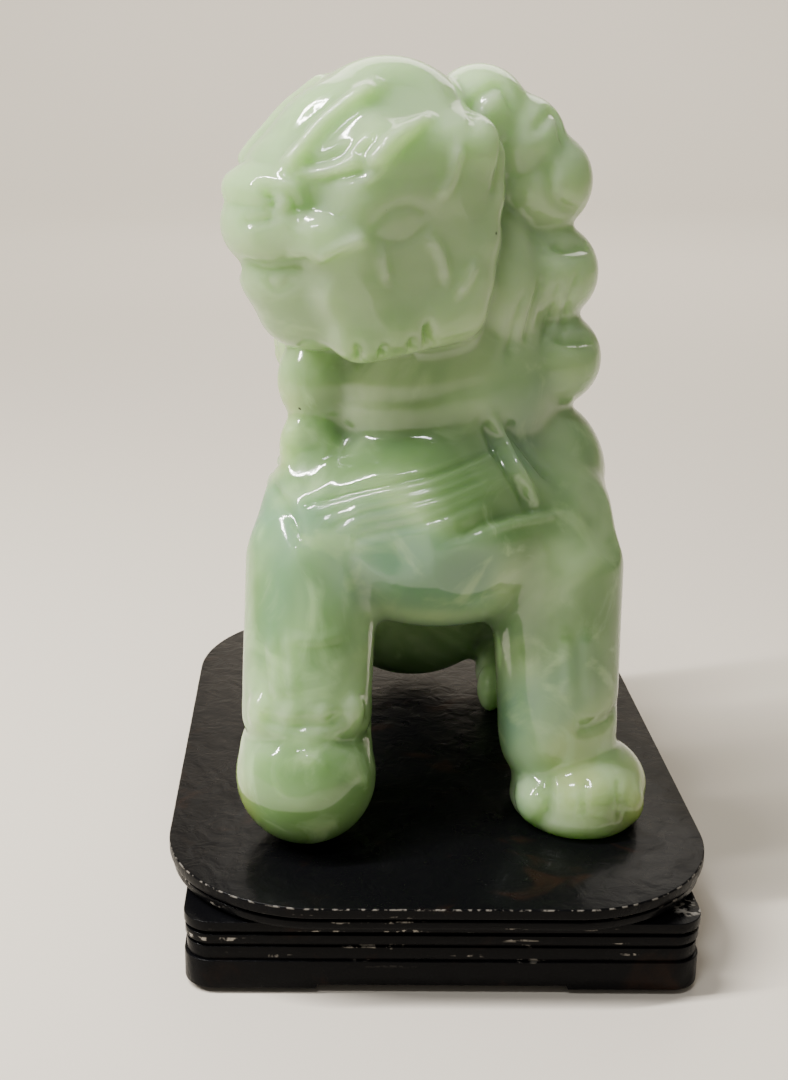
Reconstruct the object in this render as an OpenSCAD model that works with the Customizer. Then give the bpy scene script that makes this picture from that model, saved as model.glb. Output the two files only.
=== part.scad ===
// Guardian lion carved in pale jade, standing on a lacquered wooden stand.
// The lion looks to its right and rests its right front paw on a ball.
// Origin: middle of the stand's footprint, on the ground. The lion's chest faces -Y, +Z is up.

/* [Lion] */
// Height of the lion from its soles to the top of its head
lion_height = 75.5; // [60:0.5:95]
// Width of the lion over its front paws
lion_width = 43; // [34:0.5:50]
// Length of the lion from the ball's front to its tail
lion_length = 60.5; // [48:0.5:72]
// Radius of the ball under the right front paw
ball_radius = 7.1; // [5.5:0.1:8.5]
// Gap between the lion's soles and the stand
sole_gap = 0.1; // [0.05:0.05:0.3]

/* [Stand] */
// Width of the stand, left to right
stand_width = 54; // [45:0.5:70]
// Depth of the stand, front to back
stand_depth = 80; // [66:0.5:100]
// Corner radius of the top board at the front
front_corner_radius = 15; // [12:0.5:18]
// Corner radius of the top board at the back
back_corner_radius = 21; // [15:0.5:22]
// Corner radius of the base under it at the front
base_front_radius = 5; // [4:0.5:12]
// Corner radius of the base at the back
base_back_radius = 15; // [6:0.5:15]
// How far the base stands in from the top board's sides
base_inset = 2.2; // [1:0.1:3]

/* [Boards] */
// Thickness of the top board
top_board_height = 2.8; // [2.4:0.1:5]
// Thickness of the waist board under it
waist_board_height = 4.2; // [3:0.1:5]
// Height of the foot frame, pads left out
foot_frame_height = 3; // [2:0.1:4]
// Width of the foot frame's rails
foot_rail_width = 9; // [7.5:0.5:11]
// Height of the gap cut under the rails between the corner feet
apron_rise = 0.4; // [0.3:0.1:1]
// Thickness of the felt pads
felt_height = 0.6; // [0.4:0.1:1]
// Diameter of the felt pads
felt_diameter = 6; // [5:0.5:7]

/* [Dowels] */
// Diameter of the dowel pins that line up the boards
dowel_diameter = 2.4; // [1.8:0.1:3]
// Depth of a dowel in the top board
dowel_in_top = 1.8; // [1:0.1:2.2]
// Depth of a dowel in the foot frame
dowel_in_frame = 1.4; // [1:0.1:1.6]
// Clearance round a dowel and at its ends
dowel_clearance = 0.06; // [0.04:0.01:0.15]
// Distance from the rounded corner's edge to the middle of a dowel or a pad
corner_inset = 6; // [5:0.25:6.5]

/* [Hidden] */

jade = [0.62, 0.71, 0.55];
lacquer = [0.06, 0.05, 0.05];
bare_wood = [0.62, 0.45, 0.28];
felt = [0.10, 0.22, 0.14];

// Levels of the stand, from the ground up
frame_z = felt_height;
waist_z = frame_z + foot_frame_height;
top_z = waist_z + waist_board_height;
stand_height = top_z + top_board_height;
sole_z = stand_height + sole_gap;

// Edge profiles: each course is [share of the board's height, inset from the board's widest outline]
top_courses = [[0.16, 0.9], [0.30, 0.35], [0.14, 0.8], [0.40, 0]];
waist_courses = [[0.34, 0.25], [0.10, 0.55], [0.22, 0.10], [0.10, 0.50], [0.24, 0]];
arc_segments = 96;

// The lion is drawn for these sizes and stretched to the ones above
drawn_height = 75.5;
drawn_width = 43;
drawn_length = 60.5;
kx = lion_width / drawn_width;
ky = lion_length / drawn_length;
kz = lion_height / drawn_height;
kr = min(kx, ky, kz);
lobe_segments = 18;

// ---------------------------------------------------------------- stand

// Rounded outline of the stand, drawn in by inset all round from corners of these radii
module stand_outline(inset, front_radius, back_radius) {
    half_w = stand_width / 2 - inset;
    half_d = stand_depth / 2 - inset;
    front_r = front_radius - inset;
    back_r = back_radius - inset;
    for (side = [-1, 1]) {
        translate([side * (half_w - front_r), front_r - half_d]) circle(r = front_r, $fn = arc_segments);
        translate([side * (half_w - back_r), half_d - back_r]) circle(r = back_r, $fn = arc_segments);
    }
    translate([front_r - half_w, -half_d]) square([2 * (half_w - front_r), 2 * half_d - back_r]);
    translate([back_r - half_w, 0]) square([2 * (half_w - back_r), half_d]);
    translate([-half_w, front_r - half_d]) square([2 * half_w, 2 * half_d - front_r - back_r]);
}

// Height of the courses below the one at index i, as a share of the board
function share_below(courses, i) = i == 0 ? 0 : courses[i - 1][0] + share_below(courses, i - 1);

// A board built of courses, one on the other
module moulded_board(courses, height, inset, front_radius, back_radius) {
    for (i = [0 : len(courses) - 1])
        translate([0, 0, share_below(courses, i) * height])
            linear_extrude(courses[i][0] * height)
                stand_outline(inset + courses[i][1], front_radius, back_radius);
}

// Middle of a dowel or a pad at one corner: side is -1 or 1 along X, end is -1 front or 1 back
function corner_point(side, end) =
    let (r = end < 0 ? front_corner_radius : back_corner_radius)
    [side * (stand_width / 2 - r + (r - corner_inset) * cos(45)),
     end * (stand_depth / 2 - r + (r - corner_inset) * sin(45))];

// Four upright round bars, one at each corner
module corner_bars(diameter, from_z, to_z) {
    for (side = [-1, 1], end = [-1, 1])
        translate(concat(corner_point(side, end), from_z))
            cylinder(d = diameter, h = to_z - from_z, $fn = 32);
}

dowel_low_z = waist_z - dowel_in_frame;
dowel_high_z = top_z + dowel_in_top;

module dowel_bores() {
    corner_bars(dowel_diameter + 2 * dowel_clearance, dowel_low_z - dowel_clearance,
                dowel_high_z + dowel_clearance);
}

module top_board() {
    color(lacquer) difference() {
        translate([0, 0, top_z])
            moulded_board(top_courses, top_board_height, 0, front_corner_radius, back_corner_radius);
        dowel_bores();
    }
}

module waist_board() {
    color(lacquer) difference() {
        translate([0, 0, waist_z])
            moulded_board(waist_courses, waist_board_height, base_inset, base_front_radius, base_back_radius);
        dowel_bores();
    }
}

// Rails round an open middle, cut away underneath so that the frame stands on its four corners
module foot_frame() {
    apron_w = stand_width - 2 * front_corner_radius;
    apron_d = stand_depth - front_corner_radius - back_corner_radius;
    apron_y = (front_corner_radius - back_corner_radius) / 2;
    color(lacquer) difference() {
        translate([0, 0, frame_z]) linear_extrude(foot_frame_height)
            stand_outline(base_inset, base_front_radius, base_back_radius);
        translate([0, 0, frame_z - 1]) linear_extrude(foot_frame_height + 2)
            stand_outline(foot_rail_width, front_corner_radius, back_corner_radius);
        translate([-apron_w / 2, -stand_depth, frame_z - 1]) cube([apron_w, 2 * stand_depth, apron_rise + 1]);
        translate([-stand_width, apron_y - apron_d / 2, frame_z - 1])
            cube([2 * stand_width, apron_d, apron_rise + 1]);
        dowel_bores();
    }
}

module dowel_pins() {
    color(bare_wood) corner_bars(dowel_diameter, dowel_low_z, dowel_high_z);
}

module felt_pad(side, end) {
    color(felt) translate(concat(corner_point(side, end), 0))
        cylinder(d = felt_diameter, h = felt_height, $fn = 48);
}

module felt_pad_front_left() { felt_pad(-1, -1); }
module felt_pad_front_right() { felt_pad(1, -1); }
module felt_pad_back_left() { felt_pad(-1, 1); }
module felt_pad_back_right() { felt_pad(1, 1); }

// ---------------------------------------------------------------- lion

// One round lump at [x, y, z] above the soles
module lobe(at, r) {
    translate([at.x * kx, at.y * ky, at.z * kz]) sphere(r = r * kr, $fn = lobe_segments);
}

// A smooth bar of flesh between two lumps
module limb(a, ra, b, rb) {
    hull() { lobe(a, ra); lobe(b, rb); }
}

// The same bar on both flanks
module limb_pair(a, ra, b, rb) {
    for (side = [-1, 1]) limb([side * a.x, a.y, a.z], ra, [side * b.x, b.y, b.z], rb);
}

module trunk() {
    hull() {
        for (side = [-1, 1]) {
            lobe([side * 7, -10, 29], 11.5);
            lobe([side * 7, 13, 25], 11.5);
        }
    }
    // chest
    hull() for (side = [-1, 1]) { lobe([side * 8, -17, 30], 8); lobe([side * 6, -17, 25], 7); }
    // neck, with the mane running down behind it
    limb([-1, -9, 38], 14, [-1, -8, 50], 13);
    limb([0, 1, 38], 11, [0, 0, 52], 10);
}

module front_legs() {
    limb([13, -18.6, 6], 6.3, [12.6, -15.5, 27], 7.3);
    limb([12.6, -20.4, 4], 5.2, [16.8, -20.4, 4], 5.2);
    limb([-13, -23.2, 14.5], 6.6, [-12.3, -15.5, 27], 7.3);
    // the paw's pad, closed on to the ball
    limb([-13, -23.2, 14.5], 6.2, [-13.1, -24.8, 9], 6.2);
}

module hind_legs() {
    limb_pair([11, 14, 21], 9.2, [11, 17, 15], 9.4);
    limb_pair([12.5, 8, 3.6], 4.6, [12.5, 16, 6], 6.6);
    limb([-9, 15.2, 8], 6.2, [9, 15.2, 8], 6.2);
}

module head() {
    // skull and brow
    hull() { lobe([-4, -13, 64], 11.4); lobe([1, -9, 61], 13); lobe([-2, -13, 56], 12); }
    // muzzle and nose
    hull() { lobe([-15.4, -20.4, 61.4], 5.2); lobe([-13.2, -20.6, 55], 5); lobe([-7, -16, 60], 9.5); }
    // lower jaw and beard
    hull() { lobe([-10.5, -19.5, 53.5], 5.5); lobe([0, -16, 57.5], 8.5); lobe([-11, -15, 55], 5); }
}

module mane() {
    right_locks = [[4, -10, 68, 6.6], [8.6, -9.6, 64, 6.4], [10, -9.4, 55, 6.4], [10.6, -9.2, 46.4, 6.4]];
    left_locks = [[-11, -12, 43.5, 5.4], [-9, 0, 63, 6.4], [-10, 0, 54, 6.4], [-10.5, 0, 45, 6.4]];
    back_locks = [[-2, 1, 66, 7.5], [0, 4, 58, 8.5], [0, 6, 49, 8.5], [0, 9, 41, 7]];
    for (lock = concat(right_locks, left_locks, back_locks)) lobe([lock[0], lock[1], lock[2]], lock[3]);
}

module tail() {
    limb([0, 23.3, 27], 4.5, [0, 21.8, 37], 6);
    limb([0, 17, 30], 8, [0, 16, 40], 7);
}

// All of the carving is one stone, ground flat on the soles and under the ball
module lion_carving() {
    slab = 2 * drawn_length;
    color(jade) translate([0, 0, sole_z]) difference() {
        union() {
            trunk();
            front_legs();
            translate([-13.1 * kx, -25.6 * ky, ball_radius - 0.4]) sphere(r = ball_radius, $fn = 28);
            hind_legs();
            head();
            mane();
            tail();
        }
        translate([-slab, -slab, -slab]) cube([2 * slab, 2 * slab, slab]);
    }
}

lion_carving();
top_board();
waist_board();
foot_frame();
dowel_pins();
felt_pad_front_left();
felt_pad_front_right();
felt_pad_back_left();
felt_pad_back_right();
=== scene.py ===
"""Looks of a carved jade guardian lion on a black-lacquered stand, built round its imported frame.

The lion is sculpted as a carver would: rounded blocks are set together, fused and rubbed smooth,
smaller forms are laid on and fused again, and the lines are cut last. The sculpting is done in
millimetres above the lion's soles, and the finished carving is brought to the frame's metres.
"""
from __future__ import annotations

import logging
import math
from dataclasses import dataclass, field
from enum import Enum

import bpy
import numpy as np
from mathutils import Matrix, Vector
from mathutils.bvhtree import BVHTree


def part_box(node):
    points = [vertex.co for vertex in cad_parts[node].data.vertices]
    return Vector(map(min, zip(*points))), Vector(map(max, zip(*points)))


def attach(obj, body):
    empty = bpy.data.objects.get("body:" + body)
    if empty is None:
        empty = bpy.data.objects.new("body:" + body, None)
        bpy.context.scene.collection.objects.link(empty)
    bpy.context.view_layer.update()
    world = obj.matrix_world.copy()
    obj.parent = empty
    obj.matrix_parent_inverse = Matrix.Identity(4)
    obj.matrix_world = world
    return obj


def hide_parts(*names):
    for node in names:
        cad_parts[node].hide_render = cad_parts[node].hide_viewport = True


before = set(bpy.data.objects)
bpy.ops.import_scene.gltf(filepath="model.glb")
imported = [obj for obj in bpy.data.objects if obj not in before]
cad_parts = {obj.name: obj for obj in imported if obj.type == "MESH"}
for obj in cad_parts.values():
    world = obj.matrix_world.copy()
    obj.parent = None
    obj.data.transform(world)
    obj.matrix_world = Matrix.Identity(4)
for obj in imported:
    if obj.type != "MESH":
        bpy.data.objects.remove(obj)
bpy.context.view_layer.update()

log = logging.getLogger("jade_lion")

Point = tuple[float, float, float]
Flat = tuple[float, float]
Colour = Point | bpy.types.NodeSocket

MM = 0.001
SOLE_Z_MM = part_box("lion_carving")[0][2] / MM
STAND_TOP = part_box("top_board")[1][2]

RUB_FACTOR = 0.5
CURL_POINTS_PER_TURN = 10
CURL_WINDS_IN = 0.86


# ------------------------------------------------------------------ workbench


def clear_selection() -> None:
    """Deselects every object, so that the next operator acts on its own piece only."""
    bpy.ops.object.select_all(action="DESELECT")


def pick(*objects: bpy.types.Object) -> None:
    """Selects the given objects and makes the first one active.

    Args:
        objects: the objects that the next operator acts on.
    """
    clear_selection()
    for item in objects:
        item.select_set(True)
    bpy.context.view_layer.objects.active = objects[0]


def apply_modifiers(piece: bpy.types.Object) -> None:
    """Applies all of a piece's modifiers, in order.

    Args:
        piece: the mesh object.
    """
    pick(piece)
    for modifier in list(piece.modifiers):
        bpy.ops.object.modifier_apply(modifier=modifier.name)


def vertex_array(mesh: bpy.types.Mesh) -> np.ndarray:
    """Reads the places of a mesh's vertices.

    Args:
        mesh: the mesh.

    Returns:
        An array with one row of x, y, z for each vertex.
    """
    places = np.empty(len(mesh.vertices) * 3, dtype=np.float64)
    mesh.vertices.foreach_get("co", places)
    return places.reshape(-1, 3)


def normal_array(mesh: bpy.types.Mesh) -> np.ndarray:
    """Reads a mesh's vertex normals.

    Args:
        mesh: the mesh.

    Returns:
        An array with one unit vector for each vertex.
    """
    normals = np.empty(len(mesh.vertices) * 3, dtype=np.float32)
    mesh.vertex_normals.foreach_get("vector", normals)
    return normals.reshape(-1, 3).astype(np.float64)


def write_vertices(mesh: bpy.types.Mesh, places: np.ndarray) -> None:
    """Moves a mesh's vertices.

    Args:
        mesh: the mesh.
        places: one row of x, y, z for each vertex.
    """
    mesh.vertices.foreach_set("co", places.ravel())
    mesh.update()


# ------------------------------------------------------------------ clay


@dataclass(frozen=True)
class Lump:
    """An ellipsoid of stone: where it sits, its half sizes and its turn in degrees."""

    at: Point
    half: Point
    turn: Point = (0.0, 0.0, 0.0)


@dataclass(frozen=True)
class Limb:
    """A tapering round bar between two points, with a radius at each end."""

    start: Point
    start_radius: float
    end: Point
    end_radius: float


@dataclass
class Clay:
    """A growing body of stone, to which lumps are added and then fused.

    bead_step is the distance between a limb's round lumps, as a share of its thinner radius.
    """

    name: str
    segments: int = 28
    rings: int = 18
    bead_step: float = 0.35
    waiting: list = field(default_factory=list)
    body: bpy.types.Object | None = None

    def add(self, lump: Lump) -> None:
        """Adds one ellipsoid, not yet fused.

        Args:
            lump: the ellipsoid, in millimetres.
        """
        clear_selection()
        turn = tuple(math.radians(angle) for angle in lump.turn)
        bpy.ops.mesh.primitive_uv_sphere_add(
            segments=self.segments, ring_count=self.rings, radius=1.0,
            location=lump.at, rotation=turn, scale=lump.half)
        self.waiting.append(bpy.context.object)

    def add_limb(self, limb: Limb) -> None:
        """Adds a tapering bar as a close row of round lumps.

        Args:
            limb: the bar, in millimetres.
        """
        start, end = Vector(limb.start), Vector(limb.end)
        spacing = self.bead_step * min(limb.start_radius, limb.end_radius)
        steps = max(2, math.ceil((end - start).length / spacing))
        for step in range(steps + 1):
            share = step / steps
            radius = limb.start_radius + share * (limb.end_radius - limb.start_radius)
            self.add(Lump(tuple(start.lerp(end, share)), (radius, radius, radius)))

    def fuse(self, voxel: float, rub: int) -> None:
        """Fuses all that was added with the body, and rubs the seams smooth.

        Args:
            voxel: grain of the fused surface, in millimetres.
            rub: how many passes of smoothing follow.
        """
        parts = ([self.body] if self.body else []) + self.waiting
        pick(*parts)
        bpy.ops.object.join()
        self.body = bpy.context.object
        self.body.name = self.name
        bpy.ops.object.transform_apply(location=True, rotation=True, scale=True)
        remesh = self.body.modifiers.new("fuse", "REMESH")
        remesh.mode = "VOXEL"
        remesh.voxel_size = voxel
        remesh.use_smooth_shade = True
        if rub:
            smooth = self.body.modifiers.new("rub", "SMOOTH")
            smooth.factor = RUB_FACTOR
            smooth.iterations = rub
        apply_modifiers(self.body)
        self.waiting = []


# ------------------------------------------------------------------ cut lines


class Cut(Enum):
    """What a stroke does to the stone along its line."""

    GROOVE = "groove"
    RIDGE = "ridge"
    STEP = "step"


class Board(Enum):
    """The side from which a stroke is drawn, and which two coordinates its points give."""

    FRONT = "front"
    BACK = "back"
    LEFT = "left"
    RIGHT = "right"
    TOP = "top"
    LEFT_CHEEK = "left cheek"
    RIGHT_CHEEK = "right cheek"


@dataclass(frozen=True)
class Stroke:
    """A line drawn on one side of the carving.

    points are the two coordinates that the board gives, in millimetres. width is half the width
    of the cut, depth is how far it goes in or stands out, and a step lowers the side that lies to
    the right of the line as it is drawn.
    """

    board: Board
    points: tuple[Flat, ...]
    width: float
    depth: float
    cut: Cut = Cut.GROOVE


@dataclass(frozen=True)
class Facet:
    """A flat ground on a rounded form: where it lies on a board's drawing, its reach and its depth."""

    board: Board
    mark: Flat
    reach: float
    depth: float


@dataclass(frozen=True)
class HeadFrame:
    """The turned head's own directions: forward along the nose, across to a cheek, and up."""

    centre: Point = (-5.0, -15.0, 61.0)
    turn_deg: float = 60.0

    def forward(self) -> Vector:
        """Returns the direction of the nose."""
        angle = math.radians(self.turn_deg)
        return Vector((-math.sin(angle), -math.cos(angle), 0.0))

    def across(self) -> Vector:
        """Returns the direction of the lion's left cheek."""
        angle = math.radians(self.turn_deg)
        return Vector((math.cos(angle), -math.sin(angle), 0.0))

    def place(self, ahead: float, aside: float, above: float) -> Point:
        """Gives the place of a point of the head.

        Args:
            ahead: distance along the nose, in millimetres.
            aside: distance towards the lion's left cheek.
            above: height over the head's centre.

        Returns:
            The point in the lion's own millimetres.
        """
        spot = Vector(self.centre) + ahead * self.forward() + aside * self.across()
        return (spot.x, spot.y, spot.z + above)

    def turn(self) -> float:
        """Returns the head's turn about the vertical, so that a lump's X lies along the nose."""
        heading = self.forward()
        return math.degrees(math.atan2(heading.y, heading.x))


HEAD = HeadFrame()


def smooth_path(points: tuple[Flat, ...], spacing: float) -> np.ndarray:
    """Runs a smooth curve through the points of a stroke.

    Args:
        points: the points, at least two.
        spacing: distance between the curve's samples, in millimetres.

    Returns:
        An array of samples along the curve.
    """
    marks = np.array(points, dtype=float)
    padded = np.vstack([2 * marks[0] - marks[1], marks, 2 * marks[-1] - marks[-2]])
    samples = []
    for i in range(1, len(padded) - 2):
        before, start, end, after = padded[i - 1], padded[i], padded[i + 1], padded[i + 2]
        count = max(2, math.ceil(np.linalg.norm(end - start) / spacing))
        for t in np.linspace(0.0, 1.0, count, endpoint=False):
            samples.append(0.5 * (
                2 * start + (end - before) * t
                + (2 * before - 5 * start + 4 * end - after) * t ** 2
                + (3 * start - before - 3 * end + after) * t ** 3))
    samples.append(marks[-1])
    return np.array(samples)


def spiral(centre: Flat, radius: float, turns: float, start_deg: float,
           way: int = 1) -> tuple[Flat, ...]:
    """Draws a curl of hair from its rim to its middle.

    Args:
        centre: the middle of the curl.
        radius: the radius of its rim.
        turns: how many times it goes round.
        start_deg: the angle at which it starts, from the first coordinate's axis.
        way: 1 winds anticlockwise, -1 clockwise.

    Returns:
        The points of the curl.
    """
    steps = max(6, round(turns * CURL_POINTS_PER_TURN))
    points = []
    for step in range(steps + 1):
        share = step / steps
        angle = math.radians(start_deg) + way * share * turns * 2 * math.pi
        reach = radius * (1 - CURL_WINDS_IN * share)
        points.append((centre[0] + reach * math.cos(angle), centre[1] + reach * math.sin(angle)))
    return tuple(points)


@dataclass
class Chisel:
    """Cuts strokes into a finished form, and grinds flats on it.

    eye is where the front's drawing is seen from, and drawing_y is the upright plane that it lies
    in. The other drawings are seen from side_far or cheek_far away. A flat fades out over the outer
    flat_edge of its reach, and takes off flat_cut of the stone that stands over it. A cut reaches
    cut_reach widths from its line. Over end_share of the line at each end it fades from its full
    depth, at end_curve's rate, and never below what end_least gives.
    """

    piece: bpy.types.Object
    eye: Point
    spacing: float = 0.2
    drawing_y: float = -24.0
    side_far: float = 120.0
    cheek_far: float = 40.0
    flat_edge: float = 0.55
    flat_cut: float = 0.92
    cut_reach: float = 3.0
    end_share: float = 0.12
    end_least: float = 0.25
    end_curve: float = 0.7
    facing_gain: float = 4.0
    step_steepness: float = 6.0
    step_fade: float = 3.0

    def ray(self, board: Board, mark: np.ndarray) -> tuple[Vector, Vector]:
        """Gives the line of sight through one point of a drawing.

        Args:
            board: the side that the drawing is made from.
            mark: the point's two coordinates.

        Returns:
            Where the line of sight starts, and its direction.
        """
        far = self.side_far
        first, second = float(mark[0]), float(mark[1])
        if board is Board.FRONT:
            eye = Vector(self.eye)
            return eye, (Vector((first, self.drawing_y, second)) - eye).normalized()
        if board is Board.BACK:
            return Vector((first, far, second)), Vector((0, -1, 0))
        if board is Board.LEFT:
            return Vector((-far, first, second)), Vector((1, 0, 0))
        if board is Board.RIGHT:
            return Vector((far, first, second)), Vector((-1, 0, 0))
        if board is Board.TOP:
            return Vector((first, second, far)), Vector((0, 0, -1))
        side = 1.0 if board is Board.LEFT_CHEEK else -1.0
        return Vector(HEAD.place(first, side * self.cheek_far, second)), -side * HEAD.across()

    def cut(self, strokes: list[Stroke]) -> None:
        """Cuts strokes into the piece.

        Args:
            strokes: the strokes, which all start from the same uncut surface.
        """
        mesh = self.piece.data
        places, normals = vertex_array(mesh), normal_array(mesh)
        tree = BVHTree.FromObject(self.piece, bpy.context.evaluated_depsgraph_get())
        shift = np.zeros(len(places))
        for stroke in strokes:
            self.add_cut(stroke, tree, places, normals, shift)
        write_vertices(mesh, places + normals * shift[:, None])

    def grind(self, facets: list[Facet]) -> None:
        """Grinds flats on the piece, one after another.

        Args:
            facets: the flats.
        """
        mesh = self.piece.data
        tree = BVHTree.FromObject(self.piece, bpy.context.evaluated_depsgraph_get())
        places, normals = vertex_array(mesh), normal_array(mesh)
        for facet in facets:
            start, sight = self.ray(facet.board, np.array(facet.mark))
            hit = tree.ray_cast(start, sight)[0]
            if hit is None:
                continue
            distance = np.linalg.norm(places - np.array(hit), axis=1)
            near = np.where(distance < facet.reach)[0]
            facing = normals[near].sum(axis=0)
            facing /= np.linalg.norm(facing)
            over = (places[near] - np.array(hit)) @ facing + facet.depth
            inner = np.clip((facet.reach - distance[near]) / (self.flat_edge * facet.reach), 0.0, 1.0)
            places[near] -= facing * (np.maximum(over, 0.0) * self.flat_cut * inner)[:, None]
        write_vertices(mesh, places)

    def add_cut(self, stroke: Stroke, tree: BVHTree, places: np.ndarray, normals: np.ndarray,
                shift: np.ndarray) -> None:
        """Adds one stroke's cut to the shift of the vertices.

        Args:
            stroke: the stroke.
            tree: the uncut surface.
            places: the vertices of that surface.
            normals: its normals.
            shift: how far each vertex goes out; changed in place.
        """
        line, sights = [], []
        for mark in smooth_path(stroke.points, self.spacing):
            start, sight = self.ray(stroke.board, mark)
            hit = tree.ray_cast(start, sight)[0]
            if hit is not None:
                line.append(hit)
                sights.append(sight)
        if len(line) < 3:
            return
        path = np.array(line)
        sight = np.array(sights)
        reach = self.cut_reach * stroke.width
        low, high = path.min(axis=0) - reach, path.max(axis=0) + reach
        near = np.where(np.all((places > low) & (places < high), axis=1))[0]
        if not len(near):
            return
        offsets = places[near][:, None, :] - path[None, :, :]
        squared = np.einsum("ijk,ijk->ij", offsets, offsets)
        closest = squared.argmin(axis=1)
        distance = np.sqrt(squared[np.arange(len(near)), closest])
        along = closest / (len(path) - 1)
        from_end = np.minimum(along, 1 - along) / self.end_share
        taper = np.clip(from_end, self.end_least, 1.0) ** self.end_curve
        facing = -np.einsum("ij,ij->i", normals[near], sight[closest])
        faces_board = np.clip(facing * self.facing_gain, 0.0, 1.0)
        fade = np.exp(-(distance / stroke.width) ** 2)
        if stroke.cut is Cut.GROOVE:
            amount = -stroke.depth * fade
        elif stroke.cut is Cut.RIDGE:
            amount = stroke.depth * fade
        else:
            tangent = np.gradient(path, axis=0)[closest]
            side = np.cross(tangent, sight[closest])
            side /= np.linalg.norm(side, axis=1)[:, None] + 1e-9
            signed = np.einsum("ij,ij->i", places[near] - path[closest], side) / stroke.width
            wall = 1.0 / (1.0 + np.exp(-self.step_steepness * signed))
            amount = -stroke.depth * wall * np.exp(-(distance / stroke.width) ** 1.5 / self.step_fade)
        shift[near] += amount * taper * faces_board


# ------------------------------------------------------------------ the lion


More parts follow.
